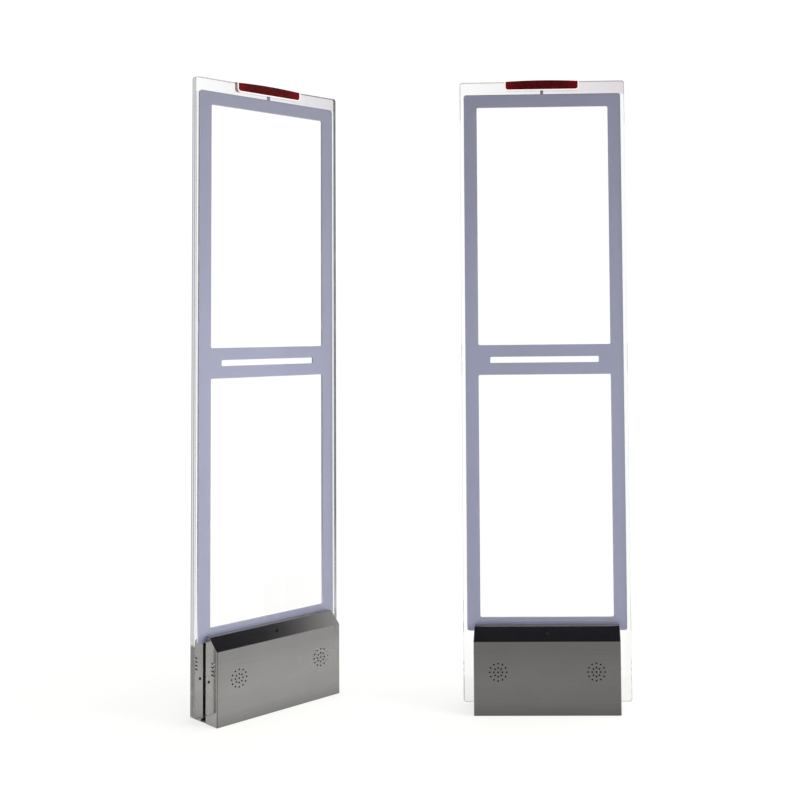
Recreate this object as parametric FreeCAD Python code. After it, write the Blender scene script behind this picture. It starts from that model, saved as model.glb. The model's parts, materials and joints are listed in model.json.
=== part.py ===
"""Walk-through security gate: two clear acrylic antenna pedestals.

Each pedestal is a pair of bonded acrylic sheets with a two-window coil frame
between them, a red alarm lamp let into the top, and a clamped steel foot that
holds the electronics under a front and a rear stainless cover.

Units are millimetres.  A pedestal is drawn in its own axes: X across the
panel, Y through it (minus Y is the front), Z up from the floor, with the
origin on the floor under the panel's middle.  place() then stands it in the
pair.  The pair's origin is the floor centre of its bounding box.
"""
import FreeCAD, Part
import os
from math import cos, pi, radians, sin, sqrt, tan

Vector = FreeCAD.Vector
X_AXIS = Vector(1, 0, 0)
Y_AXIS = Vector(0, 1, 0)
Z_AXIS = Vector(0, 0, 1)
HERE = Vector(0, 0, 0)

# --- driving dimensions: the pair --------------------------------------------
PAIR_SPACING = 678.0      # across, between the two pedestals' centres
PAIR_STAGGER = 25.0       # how far the right pedestal stands forward
LEFT_TURN = 48.0          # degrees, left pedestal's turn about its own middle

# --- driving dimensions: the acrylic panel ------------------------------------
PANEL_W = 400.0
PANEL_TOP = 1500.0
PANEL_FOOT = 15.0         # height of the panel's lower edge above the floor
SHEET_T = 10.0            # each of the two bonded sheets
PANEL_CORNER_R = 7.0
POLISH = 0.8              # polished bevel round each sheet's outer face
FIT = 0.3                 # gap round everything let into the acrylic

# --- driving dimensions: the coil frame ---------------------------------------
FRAME_W = 380.0
FRAME_FOOT = 184.0
FRAME_TOP = 1469.0
FRAME_BAR = 31.0
CROSSBAR_LOW = 790.5
CROSSBAR_TOP = 862.0
SLOT_W = 261.0
SLOT_LOW = 819.0
SLOT_TOP = 833.5
FRAME_CORNER_R = 6.0
WINDOW_CORNER_R = 3.5
TRAY_T = 4.0              # each of the frame's two half trays
COIL_W = 14.0             # winding bundle, across the bar
COIL_T = 5.0              # winding bundle, through the panel
COIL_CORNER_R = 16.0
COIL_FIT = 0.5            # gap between the winding and its groove

# --- driving dimensions: the alarm lamp ---------------------------------------
LAMP_W = 175.0
LAMP_LOW = 1481.0
LAMP_TOP = 1503.0
LAMP_SHOULDER = 1500.5    # top of the lamp at its two ends; its top edge arches between
LAMP_T = 19.0
LAMP_WALL = 4.5
LAMP_CORNER_R = 6.0
FLUTE_PITCH = 5.0         # light-spreading flutes inside the lens
FLUTE_R = 1.5
GASKET_T = 3.0
LED_PITCH = 18.0
LED_COUNT = 8
LEAD_W = 7.0
LEAD_T = 2.4

# --- driving dimensions: the covers -------------------------------------------
COVER_W = 344.0
COVER_OUT = 59.0          # front face, from the panel's middle plane
COVER_LIP = 27.0          # where the flat lip turns into the slope
COVER_BACK = 10.2         # rear edge, just clear of the acrylic
COVER_FOOT = 1.0
SLOPE_LOW = 171.0
COVER_TOP = 199.0
COVER_T = 1.5
BEND_R = 2.5
GRILLE_X = 114.5
GRILLE_Z = 101.0
GRILLE_RINGS = ((0.0, 1), (10.0, 8), (20.0, 12))   # ring radius, holes in it
GRILLE_HOLE_R = 2.0
VENT_COUNT = 4
VENT_LENGTH = 15.0
VENT_HEIGHT = 3.0
VENT_PITCH = 8.6
VENT_OUT = 41.0
VENT_Z = 129.0
SIDE_SCREW_OUT = 23.0
SIDE_SCREW_Z = 98.0
SIDE_SCREW_R = 2.0
SIDE_HEAD_R = 3.0
SLOPE_SCREW_R = 2.5
SLOPE_HEAD_R = 4.2

# --- driving dimensions: the foot ---------------------------------------------
BASE_W = 338.0
BASE_D = 112.0
BASE_T = 5.0
ANCHOR_X = 150.0
ANCHOR_Y = 38.0
ANCHOR_HOLE_R = 5.5
ENTRY_HOLE_Y = -38.0      # cable entry, under the main board
ENTRY_HOLE_R = 12.5
BAR_T = 4.0               # clamp bar and upright
BAR_W = 320.0
BAR_TOP = 95.0
BAR_LOW = 8.0
PAD_T = 2.0
PAD_W = 310.0
PAD_LOW = 25.0
PAD_TOP = 90.0
CLAMP_BOLT_XS = (-138.0, -46.0, 46.0, 138.0)
CLAMP_BOLT_Z = 60.0
CLAMP_BOLT_R = 4.0
CLAMP_HOLE_R = 4.5
EAR_T = 2.5
EAR_REACH = 36.0
EAR_TOP = 112.0
BLOCK_W = 60.0
BLOCK_X = 95.0

# --- driving dimensions: what the foot holds ----------------------------------
BOARD_W = 156.0
BOARD_LOW = 22.0
BOARD_TOP = 148.0
BOARD_T = 1.6
BOARD_BACK = -26.0        # the board's rear face
BOARD_FACE = BOARD_BACK - BOARD_T
SPACER_XS = (-72.0, 72.0)
SPACER_ZS = (30.0, 88.0)
SPACER_FLATS = 5.5        # hexagonal posts, across flats
SPACER_PIN_R = 1.5
SPACER_HOLE_R = 1.7
SPACER_HEAD_R = 2.8
SPACER_HEAD_T = 2.0
SINK_X, SINK_Z = -48.0, 128.0        # heat sink's middle
SINK_W, SINK_H, SINK_D = 44.0, 32.0, 16.0
SINK_BASE_T = 4.0
FIN_COUNT = 8
FIN_PITCH = 6.0
FIN_T = 2.0
CAPACITOR_XS = (-58.0, -38.0, -18.0)
CAPACITOR_Z = 72.0
CAPACITOR_R = 8.0
CAPACITOR_H = 22.0
CHIPS = ((14, 80, 16, 16), (44, 84, 12, 8), (44, 66, 12, 8), (12, 104, 10, 5))  # x, z, width, height
CHIP_T = 2.0
TERMINAL_XS = (-44.0, -4.0)
TERMINAL_W = 32.0
TERMINAL_T = 11.0
TERMINAL_LOW, TERMINAL_TOP = 26.0, 38.0
PORT_COUNT = 6            # wire openings in each terminal block
PORT_PITCH = 5.0
PORT_W = 3.0
PORT_LOW, PORT_TOP = 28.0, 33.0
PORT_DEPTH = 6.0
RELAY_X0, RELAY_X1 = 24.0, 60.0
RELAY_LOW, RELAY_TOP = 26.0, 44.0
RELAY_T = 15.0
KNOB_XS = (34.0, 58.0)    # sensitivity, volume
KNOB_Z = 128.0
KNOB_SHAFT_R = 3.0
KNOB_SHAFT_L = 13.5
KNOB_SHAFT_OUT = 9.0      # how far the shaft stands out of its trimmer
RUN_FIT = 0.05            # clearance round shafts and pins
KNOB_CAP_R = 5.5
KNOB_CAP_T = 9.0
KNOB_CAP_OUT = 9.5
KNOB_FLUTES = 12
KNOB_FLUTE_R = 0.8
TRIMMER_W = 11.0
TRIMMER_T = 6.0
SPEAKER_R = 21.0
SPEAKER_FRONT = -53.0
SPEAKER_FLANGE_T = 2.0
BASKET_T = 9.0            # tapers from the cone's rim to the magnet
BASKET_REAR_R = 11.0
MAGNET_R = 12.0
MAGNET_T = 7.0
CONE_R = 17.0
CONE_FLOOR_R = 6.0
CONE_DEPTH = 7.0
DUST_CAP_R = 7.0
DUST_CAP_SET = 10.0       # the dust cap's centre, behind the flange's face
BRACKET_T = 1.5
BRACKET_W = 46.0
BRACKET_TOP = 128.0
BRACKET_FOOT = -22.0      # where the bracket's foot ends, towards the panel
BRACKET_HOLE_R = 17.5
SUPPLY_X0, SUPPLY_X1 = -122.0, 18.0
SUPPLY_Y0, SUPPLY_Y1 = 26.5, 50.0
SUPPLY_TOP = 88.0
SUPPLY_WALL = 1.2
SUPPLY_VENTS = 8
SUPPLY_VENT_X = -108.0    # first vent's left end
SUPPLY_VENT_W = 3.0
SUPPLY_VENT_PITCH = 7.0
SUPPLY_VENT_INSET = 6.0
SWITCH_X = -20.0
SWITCH_Z = 50.0
SWITCH_W = 19.0
SWITCH_H = 28.0
SWITCH_DEPTH = 16.0
SWITCH_FIT = 0.1
BEZEL = 2.0               # the switch's rim, both how wide and how thick
WELL_DEPTH = 11.0
ROCKER_W = 13.0
ROCKER_H = 21.0
ROCKER_SIDE_FIT = 0.5
ROCKER_END_FIT = 1.0
ROCKER_PIVOT_R = 1.5
ROCKER_PIVOT_SET = 3.0    # the pivot's axis, behind the switch's face
ROCKER_PIVOT_OUT = 1.8    # how far the pivot stands out of the rocker's sides
ROCKER_TILT = 8.0         # degrees either side of level; it rests switched off
TRANSFORMER_X = 88.0
TRANSFORMER_Y = 34.0
CORE_W, CORE_D, CORE_H = 66.0, 22.0, 55.0
CORE_LEG = 11.0           # outer legs and yokes; the middle leg is twice as wide
WINDING_OUT = 5.0         # how far the winding stands out of the core, each way
WINDING_FIT = 0.2

FACE = -SHEET_T           # the panel's front face
BORE_OVERRUN = 1.0        # how far a cutter runs past a face


# --- small geometry helpers ---------------------------------------------------
def box(x0, x1, y0, y1, z0, z1):
    """Block between two opposite corners."""
    return Part.makeBox(x1 - x0, y1 - y0, z1 - z0, Vector(x0, y0, z0))


def rod(start, axis, radius, length):
    """Cylinder from a point along an axis."""
    return Part.makeCylinder(radius, length, start, axis)


def edges_along(shape, axis, test=lambda middle: True):
    """Straight edges that run along an axis and whose middle passes a test."""
    found = []
    for edge in shape.Edges:
        if len(edge.Vertexes) != 2:
            continue
        run = edge.Vertexes[1].Point - edge.Vertexes[0].Point
        is_straight = abs(run.Length - edge.Length) < 1e-6
        if is_straight and run.cross(axis).Length < 1e-6 * run.Length and test(edge.CenterOfMass):
            found.append(edge)
    return found


def plate(x0, x1, z0, z1, y0, y1, radius, test=lambda middle: True):
    """Slab across the panel whose corners, seen from the front, are rounded."""
    slab = box(x0, x1, y0, y1, z0, z1)
    return slab.makeFillet(radius, edges_along(slab, Y_AXIS, test))


def mirrored(shape):
    """The same shape on the other side of the panel's middle plane."""
    return shape.mirror(HERE, Y_AXIS)


def hexagon(across_flats, start, axis, length):
    """Hexagonal prism from a point along an axis."""
    reach = across_flats / sqrt(3.0)
    corners = [Vector(reach * cos(k * pi / 3), reach * sin(k * pi / 3), 0) for k in range(6)]
    prism = Part.Face(Part.makePolygon(corners + corners[:1])).extrude(Vector(0, 0, length))
    prism.Placement = FreeCAD.Placement(start, FreeCAD.Rotation(Z_AXIS, axis))
    return prism


def tube_through(points, radius, bend):
    """Round cable through a list of points, its corners rounded."""
    edges = []
    last = points[0]
    for before, corner, after in zip(points, points[1:], points[2:]):
        back = (before - corner).normalize()
        ahead = (after - corner).normalize()
        start = corner + back * bend
        end = corner + ahead * bend
        half_turn = back.getAngle(ahead) / 2
        centre_way = (back + ahead).normalize()
        bend_r = bend * tan(half_turn)
        centre = corner + centre_way * (bend / cos(half_turn))
        middle = centre - centre_way * bend_r
        edges.append(Part.makeLine(last, start))
        edges.append(Part.Arc(start, middle, end).toShape())
        last = end
    edges.append(Part.makeLine(last, points[-1]))
    path = Part.Wire(edges)
    circle = Part.Wire(Part.makeCircle(radius, points[0], points[1] - points[0]))
    return path.makePipeShell([circle], True, False)


# --- the acrylic panel and its coil frame -------------------------------------
def window_plates(y0, y1, grow):
    """The frame's three openings as solids: two windows and the crossbar slot."""
    half = FRAME_W / 2 - FRAME_BAR - grow
    low = (FRAME_FOOT + FRAME_BAR + grow, CROSSBAR_LOW - grow)
    high = (CROSSBAR_TOP + grow, FRAME_TOP - FRAME_BAR - grow)
    openings = [plate(-half, half, z0, z1, y0, y1, WINDOW_CORNER_R) for z0, z1 in (low, high)]
    slot_half = SLOT_W / 2 - grow
    openings.append(plate(-slot_half, slot_half, SLOT_LOW + grow, SLOT_TOP - grow, y0, y1, 2.0))
    return openings


def frame_slab(y0, y1, grow=0.0):
    """The coil frame's outline, with its windows open, between two depths."""
    half = FRAME_W / 2 + grow
    slab = plate(-half, half, FRAME_FOOT - grow, FRAME_TOP + grow, y0, y1, FRAME_CORNER_R)
    return slab.cut(window_plates(y0 - BORE_OVERRUN, y1 + BORE_OVERRUN, grow))


def coil_ring(low, top, width, depth):
    """Flat winding on the centre line of its four bars, from low to top."""
    mid = FRAME_W / 2 - FRAME_BAR / 2
    out = mid + width / 2
    inner = mid - width / 2
    outer = plate(-out, out, low - width / 2, top + width / 2, -depth / 2, depth / 2, COIL_CORNER_R)
    hole = plate(-inner, inner, low + width / 2, top - width / 2, -depth, depth,
                 COIL_CORNER_R - width / 2)
    return outer.cut(hole)


LOWER_COIL_SPAN = (FRAME_FOOT + FRAME_BAR / 2, (CROSSBAR_LOW + SLOT_LOW) / 2)
UPPER_COIL_SPAN = ((SLOT_TOP + CROSSBAR_TOP) / 2, FRAME_TOP - FRAME_BAR / 2)
LINK_X = 150.0            # where the two windings join across the crossbar
LINK_R = 2.0
CHANNEL_HALF = 9.0        # half width of the groove for the coil leads
CHANNEL_LOW = 145.0
CHANNEL_T = 3.0
LEADS_X = 4.0
LEAD_R = 2.3


def lead_channel(depth, half, low, top):
    """Straight groove down the panel's middle, open at the bonded face."""
    return box(-half, half, -depth, depth, low, top)


def coil_tray():
    """Front half of the coil frame, grooved for the windings."""
    tray = frame_slab(-TRAY_T, 0)
    groove_w = COIL_W + 2 * COIL_FIT
    groove_t = COIL_T + 2 * COIL_FIT
    link = rod(Vector(LINK_X, 0, SLOT_LOW - FRAME_BAR / 2), Z_AXIS, LINK_R + COIL_FIT, FRAME_BAR + 12)
    grooves = [coil_ring(*LOWER_COIL_SPAN, groove_w, groove_t)]
    grooves.append(coil_ring(*UPPER_COIL_SPAN, groove_w, groove_t))
    grooves.append(link)
    grooves.append(lead_channel(CHANNEL_T, CHANNEL_HALF, FRAME_FOOT - 1, FRAME_FOOT + 12))
    grooves.append(lead_channel(LEAD_T / 2 + FIT, LEAD_W / 2 + FIT, FRAME_TOP - 12, FRAME_TOP + 1))
    return tray.cut(grooves)


def lamp_notch():
    """Opening in the panel's top edge for the lamp and its gasket."""
    half = LAMP_W / 2 + GASKET_T + FIT
    radius = LAMP_CORNER_R + GASKET_T
    return plate(-half, half, LAMP_LOW - GASKET_T - FIT, PANEL_TOP + 20, -SHEET_T - 1, SHEET_T + 1, radius)


def front_sheet():
    """Front acrylic sheet: pocketed for the coil frame, notched for the lamp."""
    half = PANEL_W / 2
    sheet = plate(-half, half, PANEL_FOOT, PANEL_TOP, FACE, 0, PANEL_CORNER_R)
    rim = [edge for edge in sheet.Edges if abs(edge.BoundBox.YMax - FACE) < 1e-6]
    sheet = sheet.makeChamfer(POLISH, rim)
    cutters = [frame_slab(-TRAY_T - FIT, BORE_OVERRUN, FIT), lamp_notch()]
    cutters.append(lead_channel(CHANNEL_T, CHANNEL_HALF, CHANNEL_LOW, FRAME_FOOT + 1))
    cutters.append(lead_channel(LEAD_T / 2 + FIT, LEAD_W / 2 + FIT, FRAME_TOP - 1, LAMP_LOW))
    for x in CLAMP_BOLT_XS:
        cutters.append(rod(Vector(x, -20, CLAMP_BOLT_Z), Y_AXIS, CLAMP_HOLE_R, 40))
    return sheet.cut(cutters)


def lead_window():
    """Hole through the front sheet where the coil leads come out."""
    return plate(-CHANNEL_HALF, CHANNEL_HALF, CHANNEL_LOW, CHANNEL_LOW + 16, -SHEET_T - 1, 1, 3.0)


def panel_pieces():
    """The bonded sheets and everything sealed between them."""
    sheet = front_sheet()
    tray = coil_tray()
    depth = COIL_T
    lower = coil_ring(*LOWER_COIL_SPAN, COIL_W, depth)
    upper = coil_ring(*UPPER_COIL_SPAN, COIL_W, depth)
    link_low = LOWER_COIL_SPAN[1] + COIL_W / 2
    link_top = UPPER_COIL_SPAN[0] - COIL_W / 2
    upper = upper.fuse(rod(Vector(LINK_X, 0, link_low), Z_AXIS, LINK_R, link_top - link_low + 1))
    return {
        "front_sheet": sheet.cut(lead_window()),
        "rear_sheet": mirrored(sheet),
        "front_coil_tray": tray,
        "rear_coil_tray": mirrored(tray),
        "lower_coil": lower,
        "upper_coil": upper.removeSplitter(),
        "coil_leads": coil_leads(),
    }


def coil_leads():
    """Two cables from the lower winding out to the main board's connector."""
    top = LOWER_COIL_SPAN[0] - COIL_W / 2
    turn_z = CHANNEL_LOW + 8
    leads = []
    for x in (-LEADS_X, LEADS_X):
        path = [Vector(x, 0, top), Vector(x, 0, turn_z), Vector(x, -22.0, turn_z)]
        path += [Vector(x, -22.0, BOARD_TOP - 30), Vector(x, BOARD_BACK, BOARD_TOP - 30)]
        leads.append(tube_through(path, LEAD_R, 3.6))
    return Part.Compound(leads)


# --- the alarm lamp -----------------------------------------------------------
def lamp_block(grow, low, top, depth):
    """Lamp outline grown sideways and down, its lower corners rounded."""
    half = LAMP_W / 2 + grow
    middle = (low + top) / 2
    radius = LAMP_CORNER_R + max(grow, -3.0)
    return plate(-half, half, low, top, -depth / 2, depth / 2, radius, lambda m: m.z < middle)


def lamp_lens():
    """Red lens: arched on top, open underneath over the LEDs, fluted inside."""
    half = LAMP_W / 2
    inside = LAMP_T / 2 - LAMP_WALL
    ends = [Vector(side * half, 0, LAMP_SHOULDER) for side in (1, -1)]
    arch = Part.Arc(ends[0], Vector(0, 0, LAMP_TOP), ends[1]).toShape()
    trim = Part.Wire([arch, Part.makePolygon([ends[1], Vector(-half, 0, LAMP_LOW - 5),
                                              Vector(half, 0, LAMP_LOW - 5), ends[0]])])
    trim = Part.Face(trim).extrude(Vector(0, LAMP_T, 0))
    trim.translate(Vector(0, -LAMP_T / 2, 0))
    lens = lamp_block(0, LAMP_LOW, LAMP_TOP + 5, LAMP_T).common(trim)
    crown = [edge for edge in lens.Edges if edge.BoundBox.ZMin > LAMP_SHOULDER - 1e-6]
    lens = lens.makeFillet(1.4, crown)
    room = half - LAMP_WALL
    ceiling = LAMP_SHOULDER - LAMP_WALL
    cutters = [box(-room, room, -inside, inside, LAMP_LOW - 1, ceiling)]
    flute_count = int(2 * (room - FLUTE_R) / FLUTE_PITCH)
    for k in range(flute_count + 1):
        x = (k - flute_count / 2) * FLUTE_PITCH
        for y in (-inside, inside):
            cutters.append(rod(Vector(x, y, LAMP_LOW - 1), Z_AXIS, FLUTE_R, ceiling - LAMP_LOW))
    return lens.cut(cutters)


def lamp_gasket():
    """Soft U-shaped strip that beds the lens in its notch."""
    outer = lamp_block(GASKET_T, LAMP_LOW - GASKET_T, PANEL_TOP - 0.6, LAMP_T)
    gasket = outer.cut(lamp_block(0, LAMP_LOW, LAMP_TOP, LAMP_T + 2))
    hole = box(-LEAD_W / 2 - FIT, LEAD_W / 2 + FIT, -LEAD_T / 2 - FIT, LEAD_T / 2 + FIT,
               LAMP_LOW - GASKET_T - 1, LAMP_LOW + 1)
    return gasket.cut(hole)


def lamp_board():
    """LED strip: a narrow circuit board with LEDs on both faces."""
    half = LAMP_W / 2 - LAMP_WALL - 3
    strip = box(-half, half, -0.8, 0.8, LAMP_LOW, LAMP_LOW + 12)
    lamps = []
    for k in range(LED_COUNT):
        x = (k - (LED_COUNT - 1) / 2) * LED_PITCH
        lamps.append(box(x - 1.75, x + 1.75, -2.2, 2.2, LAMP_LOW + 5, LAMP_LOW + 8))
    return strip.fuse(lamps).removeSplitter()


def lamp_pieces():
    """Lens, gasket, LED board and the flat lead down to the coil frame."""
    lead = box(-LEAD_W / 2, LEAD_W / 2, -LEAD_T / 2, LEAD_T / 2, FRAME_TOP - 7, LAMP_LOW)
    return {
        "lamp_lens": lamp_lens(),
        "lamp_gasket": lamp_gasket(),
        "lamp_board": lamp_board(),
        "lamp_lead": lead,
    }


# --- the covers ---------------------------------------------------------------
SLOPE_RISE = (COVER_TOP - SLOPE_LOW) / (COVER_OUT - COVER_LIP)
SLOPE_ANGLE = Vector(0, 1, SLOPE_RISE).getAngle(Y_AXIS)
SLOPE_NORMAL = Vector(0, -sin(SLOPE_ANGLE), cos(SLOPE_ANGLE))


def cover_block(inset, half_w, back, foot):
    """Cover's side profile, set in by a wall, extruded across its width."""
    front = -COVER_OUT + inset
    top = COVER_TOP - inset
    drop = inset * sqrt(1 + SLOPE_RISE ** 2)
    slope_low = SLOPE_LOW + inset * SLOPE_RISE - drop
    slope_back = -COVER_OUT + (top - SLOPE_LOW + drop) / SLOPE_RISE
    outline = [(back, foot), (front, foot), (front, slope_low), (slope_back, top), (back, top)]
    corners = [Vector(-half_w, y, z) for y, z in outline]
    face = Part.Face(Part.makePolygon(corners + corners[:1]))
    return face.extrude(Vector(2 * half_w, 0, 0))


def bent(block, radius, back, foot):
    """Round a cover block's bends, leaving its open back and foot square."""
    bends = []
    for edge in block.Edges:
        on_back = edge.BoundBox.YMin > back - 1e-6
        on_foot = edge.BoundBox.ZMax < foot + 1e-6
        if not on_back and not on_foot:
            bends.append(edge)
    return block.makeFillet(radius, bends)


def grille_holes(x):
    """Perforated round grille for one speaker."""
    holes = []
    for ring_r, count in GRILLE_RINGS:
        for k in range(count):
            turn = 2 * pi * k / count
            start = Vector(x + ring_r * sin(turn), -COVER_OUT - 1, GRILLE_Z + ring_r * cos(turn))
            holes.append(rod(start, Y_AXIS, GRILLE_HOLE_R, 5))
    return holes


def vent_slots():
    """Stack of short slots, cut through both side walls at once."""
    slots = []
    reach = COVER_W / 2 + 1
    for k in range(VENT_COUNT):
        z = VENT_Z + (k - (VENT_COUNT - 1) / 2) * VENT_PITCH
        slot = box(-reach, reach, -VENT_OUT - VENT_LENGTH / 2, -VENT_OUT + VENT_LENGTH / 2,
                   z - VENT_HEIGHT / 2, z + VENT_HEIGHT / 2)
        slots.append(slot.makeFillet(VENT_HEIGHT / 2 - 0.05, edges_along(slot, X_AXIS)))
    return slots


def slope_point(lift):
    """Point over the middle of the slope, lifted along its normal."""
    middle = Vector(0, -(COVER_OUT + COVER_LIP) / 2, (SLOPE_LOW + COVER_TOP) / 2)
    return middle + SLOPE_NORMAL * lift


def front_cover():
    """Folded sheet cover, open at the back and underneath."""
    half = COVER_W / 2
    outer = bent(cover_block(0, half, -COVER_BACK, COVER_FOOT), BEND_R, -COVER_BACK, COVER_FOOT)
    inner = cover_block(COVER_T, half - COVER_T, -COVER_BACK + 2, COVER_FOOT - 2)
    inner = bent(inner, BEND_R - COVER_T, -COVER_BACK + 2, COVER_FOOT - 2)
    cutters = [inner] + vent_slots() + grille_holes(-GRILLE_X) + grille_holes(GRILLE_X)
    side = Vector(-half - 1, -SIDE_SCREW_OUT, SIDE_SCREW_Z)
    cutters.append(rod(side, X_AXIS, SIDE_SCREW_R + 0.2, COVER_W + 2))
    cutters.append(rod(slope_point(4), -SLOPE_NORMAL, SLOPE_SCREW_R + 0.2, 9))
    return outer.cut(cutters)


def side_screw(side):
    """Pan-head screw through a cover's side wall, with a cross recess."""
    wall = side * COVER_W / 2
    out = Vector(side, 0, 0)
    centre = Vector(wall, -SIDE_SCREW_OUT, SIDE_SCREW_Z)
    head = rod(centre, out, SIDE_HEAD_R, 1.8)
    rim = [edge for edge in head.Edges if abs(edge.CenterOfMass.x - wall) > 1.7]
    head = head.makeFillet(0.9, [edge for edge in rim if edge.Closed])
    shank = rod(centre, -out, SIDE_SCREW_R, 10)
    x0, x1 = sorted((wall + side * 1.0, wall + side * 2.5))
    recess = [box(x0, x1, centre.y - 0.4, centre.y + 0.4, centre.z - 1.9, centre.z + 1.9)]
    recess.append(box(x0, x1, centre.y - 1.9, centre.y + 1.9, centre.z - 0.4, centre.z + 0.4))
    return head.fuse(shank).removeSplitter().cut(recess)


def slope_screw():
    """Button-head socket screw in the slope and the clip nut beneath it."""
    head = rod(slope_point(0), SLOPE_NORMAL, SLOPE_HEAD_R, 2.4)
    crown = [edge for edge in head.Edges if edge.Closed and slope_height(edge) > 2.0]
    head = head.makeFillet(1.3, crown)
    screw = head.fuse(rod(slope_point(0), -SLOPE_NORMAL, SLOPE_SCREW_R, 9)).removeSplitter()
    socket = hexagon(3.0, slope_point(0.8), SLOPE_NORMAL, 3)
    nut = box(-6, 6, -6, 6, 0, 3)
    nut = nut.makeFillet(1.0, edges_along(nut, Z_AXIS)).cut(rod(Vector(0, 0, -1), Z_AXIS, SLOPE_SCREW_R, 5))
    nut.Placement = FreeCAD.Placement(slope_point(-COVER_T - 3), FreeCAD.Rotation(Z_AXIS, SLOPE_NORMAL))
    return [screw.cut(socket), nut]


def slope_height(edge):
    """How far an edge's middle stands out of the slope."""
    return (edge.CenterOfMass - slope_point(0)).dot(SLOPE_NORMAL)


def cover_pieces():
    """Front and rear covers, mirror images, each with its screws."""
    cover = front_cover()
    screws = Part.Compound([side_screw(-1), side_screw(1)] + slope_screw())
    return {
        "front_cover": cover,
        "rear_cover": mirrored(cover),
        "front_cover_screws": screws,
        "rear_cover_screws": mirrored(screws),
    }


# --- the foot -----------------------------------------------------------------
def ear(side, face):
    """Upright tab with an open slot that a cover's side screw drops into."""
    x1 = BASE_W / 2
    x0 = x1 - EAR_T
    near = SHEET_T + 4
    slot_r = SIDE_SCREW_R + 0.5
    tab = box(x0, x1, -EAR_REACH, -near, BASE_T, EAR_TOP)
    tab = tab.makeFillet(4, edges_along(tab, X_AXIS, lambda m: m.z > BASE_T + 1))
    screw = Vector(x0 - 1, -SIDE_SCREW_OUT, SIDE_SCREW_Z)
    slot = rod(screw, X_AXIS, slot_r, EAR_T + 2)
    mouth = box(x0 - 1, x1 + 1, -EAR_REACH - 1, -SIDE_SCREW_OUT,
                SIDE_SCREW_Z - slot_r, SIDE_SCREW_Z + slot_r)
    tab = tab.cut([slot, mouth])
    if side < 0:
        tab = tab.mirror(HERE, X_AXIS)
    return mirrored(tab) if face > 0 else tab


def base_frame():
    """Floor plate with a welded rear upright and four slotted ears."""
    half = BASE_W / 2
    floor = box(-half, half, -BASE_D / 2, BASE_D / 2, 0, BASE_T)
    floor = floor.makeFillet(4, edges_along(floor, Z_AXIS))
    near = SHEET_T + PAD_T
    upright = box(-BAR_W / 2, BAR_W / 2, near, near + BAR_T, BASE_T, BAR_TOP)
    ears = [ear(side, face) for side in (-1, 1) for face in (-1, 1)]
    frame = floor.fuse([upright] + ears).removeSplitter()
    holes = [rod(Vector(0, ENTRY_HOLE_Y, -1), Z_AXIS, ENTRY_HOLE_R, BASE_T + 2)]
    for x in (-ANCHOR_X, ANCHOR_X):
        for y in (-ANCHOR_Y, ANCHOR_Y):
            holes.append(rod(Vector(x, y, -1), Z_AXIS, ANCHOR_HOLE_R, BASE_T + 2))
    for x in CLAMP_BOLT_XS:
        holes.append(rod(Vector(x, 0, CLAMP_BOLT_Z), Y_AXIS, CLAMP_HOLE_R, 30))
    return frame.cut(holes)


def clamp_bar():
    """Loose front bar that presses the panel against the upright."""
    near = SHEET_T + PAD_T
    bar = box(-BAR_W / 2, BAR_W / 2, -near - BAR_T, -near, BAR_LOW, BAR_TOP)
    bar = bar.makeFillet(3, edges_along(bar, Y_AXIS))
    holes = [rod(Vector(x, -30, CLAMP_BOLT_Z), Y_AXIS, CLAMP_HOLE_R, 30) for x in CLAMP_BOLT_XS]
    return bar.cut(holes)


def clamp_pads():
    """Rubber pads between the metal and both faces of the panel."""
    pad = box(-PAD_W / 2, PAD_W / 2, -SHEET_T - PAD_T, -SHEET_T, PAD_LOW, PAD_TOP)
    holes = [rod(Vector(x, -30, CLAMP_BOLT_Z), Y_AXIS, CLAMP_HOLE_R, 30) for x in CLAMP_BOLT_XS]
    pad = pad.cut(holes)
    return Part.Compound([pad, mirrored(pad)])


def setting_blocks():
    """Rubber blocks the panel's lower edge stands on."""
    blocks = []
    for x in (-BLOCK_X, BLOCK_X):
        block = box(x - BLOCK_W / 2, x + BLOCK_W / 2, -SHEET_T, SHEET_T, BASE_T, PANEL_FOOT)
        blocks.append(block.makeFillet(2, edges_along(block, Z_AXIS)))
    return Part.Compound(blocks)


def clamp_bolts():
    """Hex bolts through bar, pads and panel, each with its nut."""
    bolts = []
    outer = SHEET_T + PAD_T + BAR_T
    for x in CLAMP_BOLT_XS:
        head_start = Vector(x, -outer, CLAMP_BOLT_Z)
        head = hexagon(13, head_start, -Y_AXIS, 5.3)
        shank = rod(head_start, Y_AXIS, CLAMP_BOLT_R, 2 * outer + 9)
        nut = hexagon(13, Vector(x, outer, CLAMP_BOLT_Z), Y_AXIS, 6.5)
        nut = nut.cut(rod(Vector(x, outer - 1, CLAMP_BOLT_Z), Y_AXIS, CLAMP_BOLT_R, 9))
        bolts += [head.fuse(shank).removeSplitter(), nut]
    return Part.Compound(bolts)


def foot_pieces():
    """Everything that clamps the panel and bolts to the floor."""
    return {
        "base_frame": base_frame(),
        "clamp_bar": clamp_bar(),
        "clamp_pads": clamp_pads(),
        "setting_blocks": setting_blocks(),
        "clamp_bolts": clamp_bolts(),
    }


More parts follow.
